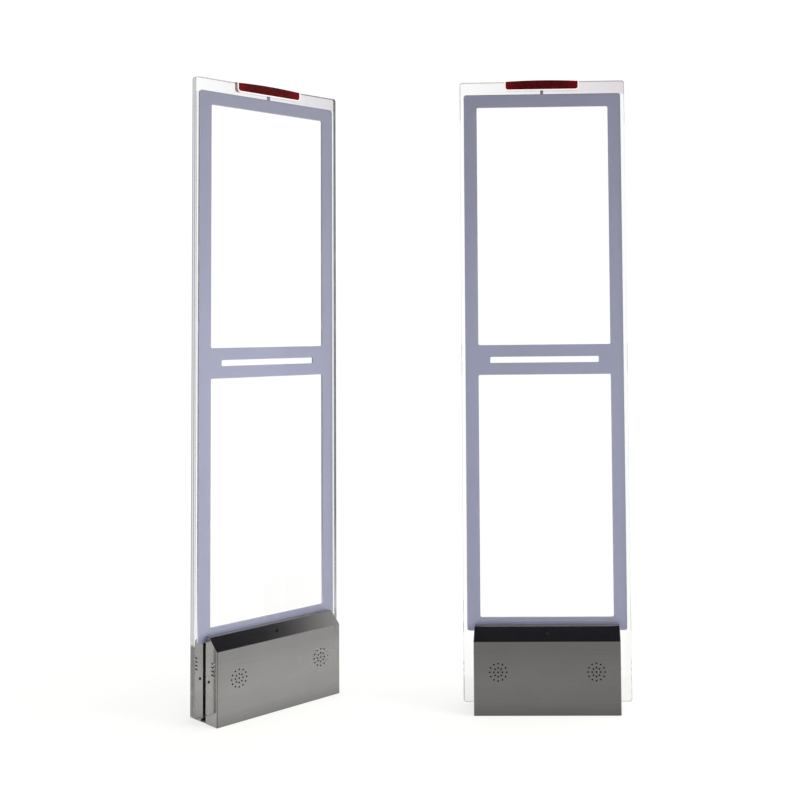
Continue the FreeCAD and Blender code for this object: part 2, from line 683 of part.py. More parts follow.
# --- what the foot holds ------------------------------------------------------
def speaker(x):
    """Small round speaker: flange, cone recess, basket and magnet in one."""
    front = Vector(x, SPEAKER_FRONT, GRILLE_Z)
    flange = rod(front, Y_AXIS, SPEAKER_R, SPEAKER_FLANGE_T)
    basket_start = front + Vector(0, SPEAKER_FLANGE_T, 0)
    basket = Part.makeCone(CONE_R, BASKET_REAR_R, BASKET_T, basket_start, Y_AXIS)
    magnet = rod(basket_start + Vector(0, BASKET_T, 0), Y_AXIS, MAGNET_R, MAGNET_T)
    body = flange.fuse([basket, magnet]).removeSplitter()
    cone = Part.makeCone(CONE_R, CONE_FLOOR_R, CONE_DEPTH, front - Vector(0, 0.01, 0), Y_AXIS)
    dust_cap = Part.makeSphere(DUST_CAP_R, front + Vector(0, DUST_CAP_SET, 0))
    dust_cap = dust_cap.common(rod(front, Y_AXIS, DUST_CAP_R, DUST_CAP_R + 1))
    return body.cut(cone).fuse(dust_cap).removeSplitter()


def speaker_bracket(x):
    """Folded bracket that holds one speaker behind its grille."""
    plate_y = SPEAKER_FRONT + SPEAKER_FLANGE_T
    half = BRACKET_W / 2
    wall = plate(x - half, x + half, BASE_T, BRACKET_TOP, plate_y, plate_y + BRACKET_T, 4,
                 lambda m: m.z > BASE_T + 1)
    foot = box(x - half, x + half, plate_y, BRACKET_FOOT, BASE_T, BASE_T + BRACKET_T)
    bracket = wall.fuse(foot).removeSplitter()
    return bracket.cut(rod(Vector(x, plate_y - 1, GRILLE_Z), Y_AXIS, BRACKET_HOLE_R, BRACKET_T + 2))


def main_board():
    """Circuit board with holes for its four spacers."""
    half = BOARD_W / 2
    board = plate(-half, half, BOARD_LOW, BOARD_TOP, BOARD_FACE, BOARD_BACK, 3)
    holes = [rod(Vector(x, BOARD_FACE - 1, z), Y_AXIS, SPACER_HOLE_R, BOARD_T + 2)
             for x in SPACER_XS for z in SPACER_ZS]
    return board.cut(holes)


def spacer(x, z):
    """Spacer from the clamp bar to the board, with a screw head in front."""
    bar_face = -SHEET_T - PAD_T - BAR_T
    post = hexagon(SPACER_FLATS, Vector(x, BOARD_BACK, z), Y_AXIS, bar_face - BOARD_BACK)
    pin = rod(Vector(x, BOARD_FACE, z), Y_AXIS, SPACER_PIN_R, BOARD_T)
    head = rod(Vector(x, BOARD_FACE - SPACER_HEAD_T, z), Y_AXIS, SPACER_HEAD_R, SPACER_HEAD_T)
    return post.fuse([pin, head]).removeSplitter()


def on_board(x0, x1, z0, z1, height):
    """Block standing on the front of the main board."""
    return box(x0, x1, BOARD_FACE - height, BOARD_FACE, z0, z1)


def heat_sink():
    """Finned block for the amplifier transistors."""
    x0 = SINK_X - SINK_W / 2
    z0, z1 = SINK_Z - SINK_H / 2, SINK_Z + SINK_H / 2
    base = on_board(x0, x0 + SINK_W, z0, z1, SINK_BASE_T)
    fins = []
    for k in range(FIN_COUNT):
        x = x0 + FIN_PITCH * k
        fins.append(box(x, x + FIN_T, BOARD_FACE - SINK_D, BOARD_FACE - SINK_BASE_T + 1, z0, z1))
    return base.fuse(fins).removeSplitter()


def trimmer_body(x):
    """Potentiometer body whose bore carries a knob's shaft."""
    half = TRIMMER_W / 2
    body = on_board(x - half, x + half, KNOB_Z - half, KNOB_Z + half, TRIMMER_T)
    body = body.makeFillet(1, edges_along(body, Y_AXIS))
    start = Vector(x, BOARD_FACE - TRIMMER_T - 1, KNOB_Z)
    return body.cut(rod(start, Y_AXIS, KNOB_SHAFT_R + RUN_FIT, TRIMMER_T))


def capacitor(x):
    """Upright can with a rounded front rim."""
    can = rod(Vector(x, BOARD_FACE, CAPACITOR_Z), -Y_AXIS, CAPACITOR_R, CAPACITOR_H)
    rim_y = BOARD_FACE - CAPACITOR_H + 1
    rim = [edge for edge in can.Edges if edge.Closed and edge.CenterOfMass.y < rim_y]
    return can.makeFillet(1.0, rim)


def terminal_block(x):
    """Row of wire terminals, open at the front."""
    x0 = x - TERMINAL_W / 2
    block = on_board(x0, x0 + TERMINAL_W, TERMINAL_LOW, TERMINAL_TOP, TERMINAL_T)
    front = BOARD_FACE - TERMINAL_T
    ports = []
    for k in range(PORT_COUNT):
        port_x = x0 + 1 + PORT_PITCH * k
        ports.append(box(port_x, port_x + PORT_W, front - 1, front + PORT_DEPTH, PORT_LOW, PORT_TOP))
    return block.cut(ports)


def board_components():
    """Parts soldered to the main board, and its spacers."""
    parts = [spacer(x, z) for x in SPACER_XS for z in SPACER_ZS]
    parts.append(heat_sink())
    parts += [trimmer_body(x) for x in KNOB_XS]
    parts += [capacitor(x) for x in CAPACITOR_XS]
    for x, z, wide, high in CHIPS:
        parts.append(on_board(x - wide / 2, x + wide / 2, z - high / 2, z + high / 2, CHIP_T))
    parts += [terminal_block(x) for x in TERMINAL_XS]
    parts.append(on_board(RELAY_X0, RELAY_X1, RELAY_LOW, RELAY_TOP, RELAY_T))
    return Part.Compound(parts)


def knob(x):
    """Trimmer knob: shaft, fluted cap and a pointer groove."""
    body_front = BOARD_FACE - TRIMMER_T
    cap_front = body_front - KNOB_CAP_OUT
    shaft = rod(Vector(x, body_front - KNOB_SHAFT_OUT, KNOB_Z), Y_AXIS, KNOB_SHAFT_R, KNOB_SHAFT_L)
    cap = rod(Vector(x, cap_front, KNOB_Z), Y_AXIS, KNOB_CAP_R, KNOB_CAP_T)
    front_rim = [edge for edge in cap.Edges if edge.Closed and edge.CenterOfMass.y < cap_front + 1]
    cap = cap.makeFillet(0.8, front_rim)
    cutters = [box(x - 0.5, x + 0.5, cap_front - 1.5, cap_front + 0.7, KNOB_Z + 1, KNOB_Z + 6)]
    flute_reach = KNOB_CAP_R * 1.08
    for k in range(KNOB_FLUTES):
        turn = 2 * pi * (k + 0.5) / KNOB_FLUTES
        start = Vector(x + flute_reach * sin(turn), cap_front + 1.5, KNOB_Z + flute_reach * cos(turn))
        cutters.append(rod(start, Y_AXIS, KNOB_FLUTE_R, KNOB_CAP_T))
    return cap.cut(cutters).fuse(shaft).removeSplitter()


def power_supply():
    """Folded steel case, vented on top, with the switch let into its rear."""
    case = box(SUPPLY_X0, SUPPLY_X1, SUPPLY_Y0, SUPPLY_Y1, BASE_T, SUPPLY_TOP)
    case = case.makeFillet(2, edges_along(case, Z_AXIS))
    cutters = [box(SUPPLY_X0 + SUPPLY_WALL, SUPPLY_X1 - SUPPLY_WALL, SUPPLY_Y0 + SUPPLY_WALL,
                   SUPPLY_Y1 - SUPPLY_WALL, BASE_T + SUPPLY_WALL, SUPPLY_TOP - SUPPLY_WALL)]
    half_w = SWITCH_W / 2 + SWITCH_FIT
    half_h = SWITCH_H / 2 + SWITCH_FIT
    cutters.append(box(SWITCH_X - half_w, SWITCH_X + half_w, SUPPLY_Y1 - 5, SUPPLY_Y1 + 1,
                       SWITCH_Z - half_h, SWITCH_Z + half_h))
    for k in range(SUPPLY_VENTS):
        x = SUPPLY_VENT_X + SUPPLY_VENT_PITCH * k
        cutters.append(box(x, x + SUPPLY_VENT_W, SUPPLY_Y0 + SUPPLY_VENT_INSET,
                           SUPPLY_Y1 - SUPPLY_VENT_INSET, SUPPLY_TOP - 3, SUPPLY_TOP + 1))
    return case.cut(cutters)


def rocker_pivot():
    """Middle of the rocker's cross pin."""
    return Vector(SWITCH_X, SUPPLY_Y1 - ROCKER_PIVOT_SET, SWITCH_Z)


def power_switch():
    """Rocker switch body: bezel, well and the two pivot sockets."""
    face = SUPPLY_Y1
    half_w, half_h = SWITCH_W / 2, SWITCH_H / 2
    body = box(SWITCH_X - half_w, SWITCH_X + half_w, face - SWITCH_DEPTH, face,
               SWITCH_Z - half_h, SWITCH_Z + half_h)
    bezel = plate(SWITCH_X - half_w - BEZEL, SWITCH_X + half_w + BEZEL, SWITCH_Z - half_h - BEZEL,
                  SWITCH_Z + half_h + BEZEL, face, face + BEZEL, 2)
    well_w = ROCKER_W / 2 + ROCKER_SIDE_FIT
    well_h = ROCKER_H / 2 + ROCKER_END_FIT
    well = box(SWITCH_X - well_w, SWITCH_X + well_w, face - WELL_DEPTH, face + BEZEL + 1,
               SWITCH_Z - well_h, SWITCH_Z + well_h)
    reach = ROCKER_W / 2 + 2
    sockets = rod(rocker_pivot() - X_AXIS * reach, X_AXIS, ROCKER_PIVOT_R + RUN_FIT, 2 * reach)
    return body.fuse(bezel).removeSplitter().cut([well, sockets])


def power_rocker():
    """Rocker with a shallow V face on a cross pin, tilted to its off position."""
    face = SUPPLY_Y1
    half_w = ROCKER_W / 2
    half_h = ROCKER_H / 2
    outline = [(face - 6, -half_h + 2), (face + 1.5, -half_h), (face + 3.6, -half_h), (face + 1.6, 0),
               (face + 3.6, half_h), (face + 1.5, half_h), (face - 6, half_h - 2)]
    corners = [Vector(SWITCH_X - half_w, y, SWITCH_Z + z) for y, z in outline]
    block = Part.Face(Part.makePolygon(corners + corners[:1])).extrude(Vector(2 * half_w, 0, 0))
    reach = half_w + ROCKER_PIVOT_OUT
    pin = rod(rocker_pivot() - X_AXIS * reach, X_AXIS, ROCKER_PIVOT_R, 2 * reach)
    rocker = block.fuse(pin).removeSplitter()
    rocker.rotate(rocker_pivot(), X_AXIS, -ROCKER_TILT)
    return rocker


def transformer():
    """Laminated core with its winding round the middle leg."""
    x, y = TRANSFORMER_X, TRANSFORMER_Y
    half_w, half_d = CORE_W / 2, CORE_D / 2
    slot_out = half_w - CORE_LEG
    low, top = BASE_T + CORE_LEG, BASE_T + CORE_H - CORE_LEG
    core = box(x - half_w, x + half_w, y - half_d, y + half_d, BASE_T, BASE_T + CORE_H)
    leg = box(x - CORE_LEG, x + CORE_LEG, y - half_d, y + half_d, BASE_T, BASE_T + CORE_H)
    slots = [box(x - slot_out, x - CORE_LEG, y - half_d - 1, y + half_d + 1, low, top),
             box(x + CORE_LEG, x + slot_out, y - half_d - 1, y + half_d + 1, low, top)]
    wound_x = slot_out - WINDING_FIT
    wound_y = half_d + WINDING_OUT
    winding = box(x - wound_x, x + wound_x, y - wound_y, y + wound_y, low + WINDING_FIT, top - WINDING_FIT)
    winding = winding.makeFillet(5, edges_along(winding, Z_AXIS))
    return Part.Compound([core.cut(slots), winding.cut(leg)])


def electronics_pieces():
    """Boards, speakers, supply, switch and trimmers in the foot."""
    sides = (-GRILLE_X, GRILLE_X)
    return {
        "speakers": Part.Compound([speaker(x) for x in sides]),
        "speaker_brackets": Part.Compound([speaker_bracket(x) for x in sides]),
        "main_board": main_board(),
        "board_components": board_components(),
        "sensitivity_knob": knob(KNOB_XS[0]),
        "volume_knob": knob(KNOB_XS[1]),
        "power_supply": power_supply(),
        "power_switch": power_switch(),
        "power_rocker": power_rocker(),
        "transformer": transformer(),
    }


# --- the pair -----------------------------------------------------------------
def pedestal():
    """Every piece of one pedestal, in the pedestal's own axes."""
    pieces = {}
    for group in (panel_pieces, lamp_pieces, cover_pieces, foot_pieces, electronics_pieces):
        pieces.update(group())
    return pieces


def reach_x(turn):
    """How far a pedestal turned by an angle reaches to either side."""
    panel = PANEL_W / 2 * cos(turn) + SHEET_T * sin(turn)
    covers = COVER_W / 2 * cos(turn) + COVER_OUT * sin(turn)
    return max(panel, covers)


def places():
    """Where each pedestal stands: name, centre and turn in degrees."""
    right_x = (PAIR_SPACING + reach_x(radians(LEFT_TURN)) - reach_x(0)) / 2
    return (
        ("right", Vector(right_x, -PAIR_STAGGER, 0), 0.0),
        ("left", Vector(right_x - PAIR_SPACING, 0, 0), LEFT_TURN),
    )


def place(shape, centre, turn):
    """Copy of a piece, turned about the upright axis and moved to its place."""
    moved = shape.copy()
    stand = FreeCAD.Placement(centre, FreeCAD.Rotation(Z_AXIS, turn))
    moved.Placement = stand.multiply(moved.Placement)
    return moved


def main():
    os.makedirs("parts", exist_ok=True)
    pieces = pedestal()
    for name, centre, turn in places():
        for piece, shape in pieces.items():
            place(shape, centre, turn).exportStep("parts/%s_%s.step" % (name, piece))


main()
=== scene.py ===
"""Looks of the walk-through security gate: two clear acrylic antenna pedestals.

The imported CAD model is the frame.  Every CAD piece keeps its place and shape;
this script gives each one a procedural material and adds the loose wiring and
the weld beads inside the feet.  Lengths are metres in the row's frame.  In a
pedestal's own axes they are metres in materials and millimetres elsewhere: x
across the panel, y through it from front to rear, z up, with the origin at
the middle of its foot.
"""
import json
import math

import bpy
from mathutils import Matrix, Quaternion, Vector


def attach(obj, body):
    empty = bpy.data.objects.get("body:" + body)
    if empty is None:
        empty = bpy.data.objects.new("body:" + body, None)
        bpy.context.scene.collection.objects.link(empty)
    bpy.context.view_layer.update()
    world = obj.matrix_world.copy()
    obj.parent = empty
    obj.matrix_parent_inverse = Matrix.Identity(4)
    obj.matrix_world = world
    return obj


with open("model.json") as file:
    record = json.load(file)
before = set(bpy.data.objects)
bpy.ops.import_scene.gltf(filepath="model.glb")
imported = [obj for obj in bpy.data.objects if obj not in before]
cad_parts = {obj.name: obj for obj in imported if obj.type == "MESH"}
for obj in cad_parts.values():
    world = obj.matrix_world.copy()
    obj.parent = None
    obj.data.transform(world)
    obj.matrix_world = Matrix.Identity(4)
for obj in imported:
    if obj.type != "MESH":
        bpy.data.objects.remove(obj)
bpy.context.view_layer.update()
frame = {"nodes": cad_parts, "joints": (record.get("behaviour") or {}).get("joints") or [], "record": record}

SIDES = ("right", "left")
ROOT_BODY = "pedestals"
MM = 0.001
UP = Vector((0, 0, 1))

# --- camera ---------------------------------------------------------------------
CAMERA_PLACE = (0.36352, -2.80415, 0.89630)
CAMERA_YAW = 1.421        # degrees to the left of +Y
CAMERA_PITCH = 2.634      # degrees upward
CAMERA_ROLL = -0.567      # degrees
CAMERA_LENS = 51.809      # mm on a 36 mm wide sensor
LENS_SHIFT = {"shift_x": -0.16719, "shift_y": -0.15324}
SHIFT_REACH = 0.05        # m; the lens stays shifted this near its reference place

# --- studio ---------------------------------------------------------------------
BACKDROP = 1.06           # radiance of the white surroundings, seen directly or through the panels
FLOOR_RADIUS = 7.0
FLOOR_NEAR = 0.8          # the floor melts into the backdrop between these radii
FLOOR_FAR = 3.0
FLOOR_GLOW = 0.70         # share of the backdrop's glow in the floor under the gate
LEFT_LIGHT = (0.30, 0.305, 0.33)  # what matt surfaces get from the surroundings' two sides
RIGHT_LIGHT = (1.70, 1.68, 1.52)
KEY_LIGHT = {"place": (3.6, -1.3, 2.0), "aim": (0, 0, 0.7), "size": 1.6, "power": 80,
             "colour": (1.0, 0.97, 0.80)}

# --- the studio that mirrors see; ways are unit vectors -------------------------
FRONT_LIGHT = 0.42        # in front of the gate
SIDE_LIGHT = 0.95         # beside and behind it
OVERHEAD_LIGHT = (0.033, 0.034, 0.046)
FRONT_TO_SIDE = (-0.95, 0.25)    # a way's y
LOW_TO_OVERHEAD = (0.20, 0.45)   # a way's z
BANK_WAY = (0.669, 0.743, 0.0)   # the bank of soft lights stands to the right rear
BANK_EDGE = (0.553, 0.584)       # cosine of the angle between a way and the bank's
MIRROR_REACH = 0.33       # m; a pedestal mirrors its own near pieces, but not the other pedestal

# --- zones in the materials: metres in a pedestal's own axes --------------------
HALF_WIDTH = 0.19         # of the coil frame
HALF_DEPTH = 0.010        # of the two bonded sheets
BOND_DEPTH = 0.00005      # faces this near the middle are the bonded ones
BESIDE_FRAME = (0.180, 0.188)    # x, hidden by the coil frame's outer edge
ABOVE_FRAME = (1.466, 1.470)     # z, at the coil frame's top edge
TO_FOOT = (0.20, 0.08)           # z, down from the covers' top
IN_FOOT = (0.078, 0.070)         # z, beside the upper half of the clamp bar
BELOW_FRAME = (0.178, 0.184)     # z, just below the coil frame
DARK_LINE_FADE = (0.20, 0.45)    # z, where the rim's dark line fades towards the covers
FRAME_FADE = (0.75, 1.47)        # z, from the coil frame's middle to its top, over which its painted shade deepens
LENS_ENDS = (0.055, 0.088)       # x, outward along the lens, where painted light pales its ends
FACE_HEIGHT = 0.150              # z, up the covers' front faces, over which their painted shade runs

# --- colours, linear RGB --------------------------------------------------------
WHITE = (1.0, 1.0, 1.0)
CLEAR = (0.985, 0.990, 0.995)        # acrylic: in the windows
# painted shade and reflections that grey the acrylic beyond the coil frame, at the foot and along the top
# strip
PAINTED_SHADE_SIDE = (0.930, 0.945, 0.945)    # painted shade beside the frame, right end
PAINTED_SHADE_FOOT = (0.900, 0.900, 0.905)
PAINTED_SHADE_TOP_LEFT = (0.930, 0.935, 0.930)
PAINTED_SHADE_TOP_RIGHT = (0.700, 0.670, 0.700)
ACRYLIC_SHADE = (0.97, 0.97, 0.975)  # what is left of light that passes through
RIM_STOPS = ((0.04, (0.96, 0.97, 0.98)), (0.20, (0.80, 0.81, 0.82)), (0.42, (0.36, 0.37, 0.39)),
             (0.64, (0.90, 0.91, 0.95)), (0.88, (0.32, 0.32, 0.37)))  # from the front face to the rear; the dark stops are painted reflections
RIM_INSIDE = (0.88, 0.89, 0.91)
# painted shade: the dark line seen inside the rim; painted glow: the light the rim gives off
RIM_PAINTED_SHADE = (0.070, 0.085, 0.100)
RIM_PAINTED_GLOW = 0.22
# painted shade: the coil frame's grey darkens towards its top
FRAME_GREY_LOW = (0.375, 0.392, 0.590)
FRAME_GREY_SHADED_TOP = (0.240, 0.250, 0.385)
LENS_RED = (0.036, 0.0005, 0.0012)
# painted light: the red of the lens's brighter ends
LENS_RED_LIT = (0.140, 0.0012, 0.0034)
LENS_SHADE = (0.6, 0.02, 0.03)
STEEL = (0.370, 0.360, 0.348)
FACE_PAINTED_SHADES = ((0.0, (0.68,) * 3), (0.20, (0.92,) * 3), (0.50, WHITE), (0.75, (0.96,) * 3),
              (1.0, (0.86,) * 3))    # painted shade up the covers' faces: darker at the foot and the top
NEAR_BLACK = (0.012, 0.012, 0.013)
RUBBER_BLACK = (0.018, 0.018, 0.018)
ZINC = (0.60, 0.60, 0.57)
COPPER = (0.55, 0.24, 0.11)
CREAM = (0.75, 0.73, 0.66)
SWITCH_RED = (0.45, 0.010, 0.010)
CASE_ZINC = (0.55, 0.56, 0.57)
LEAD_GREY = (0.24, 0.24, 0.30)
SLEEVE_BLUE = (0.010, 0.016, 0.060)
TRIMMER_BLUE = (0.012, 0.075, 0.34)
TERMINAL_GREEN = (0.020, 0.20, 0.075)
WELD_GREY = (0.016, 0.016, 0.017)
WIRE_COLOURS = {"red": (0.42, 0.012, 0.010), "black": (0.015, 0.015, 0.016), "blue": (0.012, 0.05, 0.30),
                "yellow": (0.62, 0.42, 0.02), "grey": (0.20, 0.20, 0.21)}

# --- parts that are one CAD piece: millimetres in a pedestal's own axes ---------
ANY = (-math.inf, math.inf)
BOARD_PARTS = {           # x, y and z limits that tell the board parts apart
    "heat_sink": ((-71, -25), ANY, (111, math.inf)),
    "capacitor_sleeves": ((-67, -9), (-49.5, math.inf), (63, 81)),
    "trimmers": ((28, math.inf), ANY, (121, math.inf)),
    "chips": ((5, 51), ANY, (61, 108)),
    "terminals": ((-61, 13), ANY, (-math.inf, 39)),
    "relay": ((23, 61), ANY, (-math.inf, 45)),
}
TRANSFORMER_X = 88
TRANSFORMER_Y = 34
TRANSFORMER_HALF_DEPTH = 11.1    # y, of its iron
WINDING_Z = (16.1, 48.9)  # between the iron's yokes
SLOT_X = (11, 21.9)       # between the iron's legs, from its middle
SPEAKER_X = 114.5
SPEAKER_Z = 101
CONE_RADIUS = 17.2
CONE_REAR = -43           # y
MAGNET_FRONT = -42.05     # y

# --- wiring and welds: millimetres in a pedestal's own axes ---------------------
CORE_COLOURS = (("red", -17.5), ("black", -12.5), ("blue", -7.5), ("yellow", -2.5))  # and each port's x
WIRE_RADIUS = 0.9         # of the cores and the speaker leads
PORT_Y = -36.0            # where the wires enter the main board's terminals
PORT_Z = 30.5
WELD_RADIUS = 2.0
WELD_STEP = 1.6           # about the distance between a bead's points
WELD_RISE = 5.2           # height of the beads' middle above the floor


# --- each pedestal's own axes ---------------------------------------------------
def mount_place(name):
    """Where a mount of the record sits."""
    for mount in frame["record"]["mounts"]:
        if mount["name"] == name:
            return Vector(mount["pos_m"])
    raise KeyError(name)


def joint_axis(name):
    """Direction in which a joint of the record moves its child."""
    for joint in frame["joints"]:
        if joint["name"] == name:
            return Vector(joint["axis"]).normalized()
    raise KeyError(name)


class Pedestal:
    """Place and directions of one pedestal: across the panel, through it, up."""

    def __init__(self, side):
        self.side = side
        self.foot = mount_place(side + "_floor_face")
        self.through = joint_axis(side + "_rear_cover_lift_off")
        self.across = Vector((self.through.y, -self.through.x, 0))
        self.turn = math.atan2(self.across.y, self.across.x)

    def point(self, x, y, z):
        """Row-frame point of local millimetres."""
        return self.foot + (self.across * x + self.through * y + UP * z) * MM

    def local(self, point):
        """Local millimetres of a row-frame point."""
        reach = (point - self.foot) / MM
        return reach.dot(self.across), reach.dot(self.through), reach.z

    def node(self, name):
        """CAD object of one of this pedestal's pieces."""
        return frame["nodes"][self.side + "_" + name]


# --- a small vocabulary for node trees ------------------------------------------
class Nodes:
    """Node tree of a material or a world, with short calls for its nodes."""

    def __init__(self, owner, pedestal=None):
        owner.use_nodes = True
        self.owner = owner
        self.tree = owner.node_tree
        self.tree.nodes.clear()
        self.pedestal = pedestal
        self.own_place = None

    def node(self, kind, inputs=None, **settings):
        """New node of a kind, its properties and inputs set."""
        made = self.tree.nodes.new(kind)
        for key, value in settings.items():
            setattr(made, key, value)
        for key, value in (inputs or {}).items():
            self.feed(made.inputs[key], value)
        return made

    def feed(self, socket, value):
        """Link a socket to another, or set its value."""
        if isinstance(value, bpy.types.NodeSocket):
            self.tree.links.new(value, socket)
        elif isinstance(value, (tuple, list)) and len(value) == 3 and socket.type == "RGBA":
            socket.default_value = (*value, 1.0)
        else:
            socket.default_value = value

    def math(self, operation, *values):
        """Arithmetic node's result."""
        made = self.node("ShaderNodeMath", operation=operation)
        for socket, value in zip(made.inputs, values):
            self.feed(socket, value)
        return made.outputs[0]

    def vector(self, operation, *values):
        """Vector arithmetic node's result."""
        made = self.node("ShaderNodeVectorMath", operation=operation)
        for socket, value in zip(made.inputs, values):
            self.feed(socket, value)
        return made.outputs["Value"] if operation in ("DOT_PRODUCT", "LENGTH") else made.outputs[0]

    def scaled(self, vector, factor):
        """Vector or colour times a value."""
        made = self.node("ShaderNodeVectorMath", {0: vector, "Scale": factor}, operation="SCALE")
        return made.outputs[0]

    def place(self):
        """The shaded point in the pedestal's own axes, metres."""
        if self.own_place is None:
            self.own_place = self.node("ShaderNodeTexCoord").outputs["Object"]
            if self.pedestal:
                moved = self.vector("SUBTRACT", self.own_place, tuple(self.pedestal.foot))
                turned = self.node("ShaderNodeVectorRotate", rotation_type="Z_AXIS",
                                   inputs={"Vector": moved, "Angle": -self.pedestal.turn})
                self.own_place = turned.outputs[0]
        return self.own_place

    def part(self, vector, letter):
        """One coordinate of a vector."""
        return self.node("ShaderNodeSeparateXYZ", {0: vector}).outputs[letter]

    def stretched(self, x, y, z):
        """The shaded point with each axis scaled, for grain and streaks."""
        return self.vector("MULTIPLY", self.place(), (x, y, z))

    def noise(self, where, scale=1.0, detail=3.0, rough=0.5, distortion=0.0):
        """Noise value, 0 to 1."""
        made = self.node("ShaderNodeTexNoise", {"Vector": where, "Scale": scale, "Detail": detail,
                                                "Roughness": rough, "Distortion": distortion})
        return made.outputs[0]

    def remap(self, value, low, high, new_low, new_high, smooth=False):
        """Value moved from one range to another, clamped."""
        made = self.node("ShaderNodeMapRange", {"Value": value, "From Min": low, "From Max": high,
                                                "To Min": new_low, "To Max": new_high})
        if smooth:
            made.interpolation_type = "SMOOTHSTEP"
        return made.outputs[0]

    def blend(self, factor, first, second):
        """Colour between two colours."""
        made = self.node("ShaderNodeMix", data_type="RGBA")
        self.feed(made.inputs[0], factor)
        self.feed(made.inputs[6], first)
        self.feed(made.inputs[7], second)
        return made.outputs[2]

    def ramp(self, value, stops):
        """Colour along a list of (position, colour) stops."""
        made = self.node("ShaderNodeValToRGB", {0: value})
        elements = made.color_ramp.elements
        while len(elements) < len(stops):
            elements.new(1.0)
        for element, (position, colour) in zip(elements, stops):
            element.position = position
            element.color = (*colour, 1.0)
        return made.outputs[0]

    def pick(self, factor, first, second):
        """Value between two values."""
        made = self.node("ShaderNodeMix", data_type="FLOAT")
        for socket, value in zip((made.inputs[0], made.inputs[2], made.inputs[3]), (factor, first, second)):
            self.feed(socket, value)
        return made.outputs[0]

    def bump(self, height, strength, distance):
        """Normal from a height in metres times distance."""
        made = self.node("ShaderNodeBump", {"Height": height, "Strength": strength, "Distance": distance})
        return made.outputs[0]

    def principled(self, **inputs):
        """Principled shader; underscores in input names stand for spaces."""
        named = {key.replace("_", " "): value for key, value in inputs.items()}
        return self.node("ShaderNodeBsdfPrincipled", named).outputs[0]

    def transparent(self, colour):
        """Shader that lets light straight through."""
        return self.node("ShaderNodeBsdfTransparent", {"Color": colour}).outputs[0]

    def emission(self, colour, strength):
        """Shader that glows."""
        return self.node("ShaderNodeEmission", {"Color": colour, "Strength": strength}).outputs[0]

    def mix_shaders(self, factor, first, second):
        """Shader between two shaders."""
        made = self.node("ShaderNodeMixShader")
        for socket, value in zip(made.inputs, (factor, first, second)):
            self.feed(socket, value)
        return made.outputs[0]

    def ray(self, name):
        """Light Path value, such as Is Shadow Ray."""
        return self.node("ShaderNodeLightPath").outputs[name]

    def is_reflected(self):
        """1 for rays that reached this point by a reflection."""
        straight = self.math("SUBTRACT", 1.0, self.ray("Is Transmission Ray"))
        return self.math("MULTIPLY", self.ray("Is Glossy Ray"), straight)

    def finish(self, surface):
        """Join the surface to the output and give back the material or world."""
        kind = "World" if isinstance(self.owner, bpy.types.World) else "Material"
        self.node("ShaderNodeOutput" + kind, {"Surface": surface})
        return self.owner

    def finish_piece(self, surface):
        """The same for a piece of a pedestal, which distant mirrors look straight through."""
        far = self.math("GREATER_THAN", self.ray("Ray Length"), MIRROR_REACH)
        unseen = self.math("MULTIPLY", far, self.is_reflected())
        return self.finish(self.mix_shaders(unseen, surface, self.transparent(WHITE)))


def material_nodes(name, pedestal=None):
    """Empty node tree of a new material."""
    return Nodes(bpy.data.materials.new(name), pedestal)


# --- materials of what shows ----------------------------------------------------
def acrylic_tint(s):
    """Clear in the windows, with painted shade and reflections greying it beyond the coil frame: most at the
    top right, a little at the foot.
    """
    x = s.part(s.place(), "X")
    z = s.part(s.place(), "Z")
    rightward = s.remap(x, -HALF_WIDTH, HALF_WIDTH, 0.0, 1.0)
    beside = s.remap(s.math("ABSOLUTE", x), *BESIDE_FRAME, 0.0, 1.0)
    # painted shade: greyer beside the frame, at the foot and along the top strip
    tint = s.blend(s.math("MULTIPLY", beside, rightward), CLEAR, PAINTED_SHADE_SIDE)
    tint = s.blend(s.remap(z, *TO_FOOT, 0.0, 0.5), tint, PAINTED_SHADE_FOOT)
    tint = s.blend(s.remap(z, *IN_FOOT, 0.0, 0.9), tint, PAINTED_SHADE_FOOT)
    top = s.blend(rightward, PAINTED_SHADE_TOP_LEFT, PAINTED_SHADE_TOP_RIGHT)
    return s.blend(s.remap(z, *ABOVE_FRAME, 0.0, 1.0), tint, top)


def rim_shader(s, y):
    """Sawn rim: milky lines and painted dark reflections seen from outside, a painted dark line seen from
    inside the sheet, all with a painted glow.
    """
    z = s.part(s.place(), "Z")
    outside = s.ramp(s.remap(y, -HALF_DEPTH, HALF_DEPTH, 0.0, 1.0), RIM_STOPS)
    patches = s.noise(s.stretched(0, 0, 7), 1.0, 2.0, 0.5)
    # painted shade: a patchy dark line in the rim, fading towards the covers
    is_dark = s.remap(y, 0.4 * HALF_DEPTH, HALF_DEPTH, 1.0, 0.4)
    is_dark = s.math("MULTIPLY", is_dark, s.remap(patches, 0.30, 0.45, 0.5, 1.0))
    is_dark = s.math("MULTIPLY", is_dark, s.remap(z, *DARK_LINE_FADE, 0.3, 1.0))
    inside = s.blend(is_dark, RIM_INSIDE, RIM_PAINTED_SHADE)
    colour = s.blend(s.node("ShaderNodeNewGeometry").outputs["Backfacing"], outside, inside)
    milky = s.node("ShaderNodeBsdfDiffuse", {"Color": colour}).outputs[0]
    # painted glow: the rim gives off light of its own colour
    return s.node("ShaderNodeAddShader", {0: milky, 1: s.emission(colour, RIM_PAINTED_GLOW)}).outputs[0]


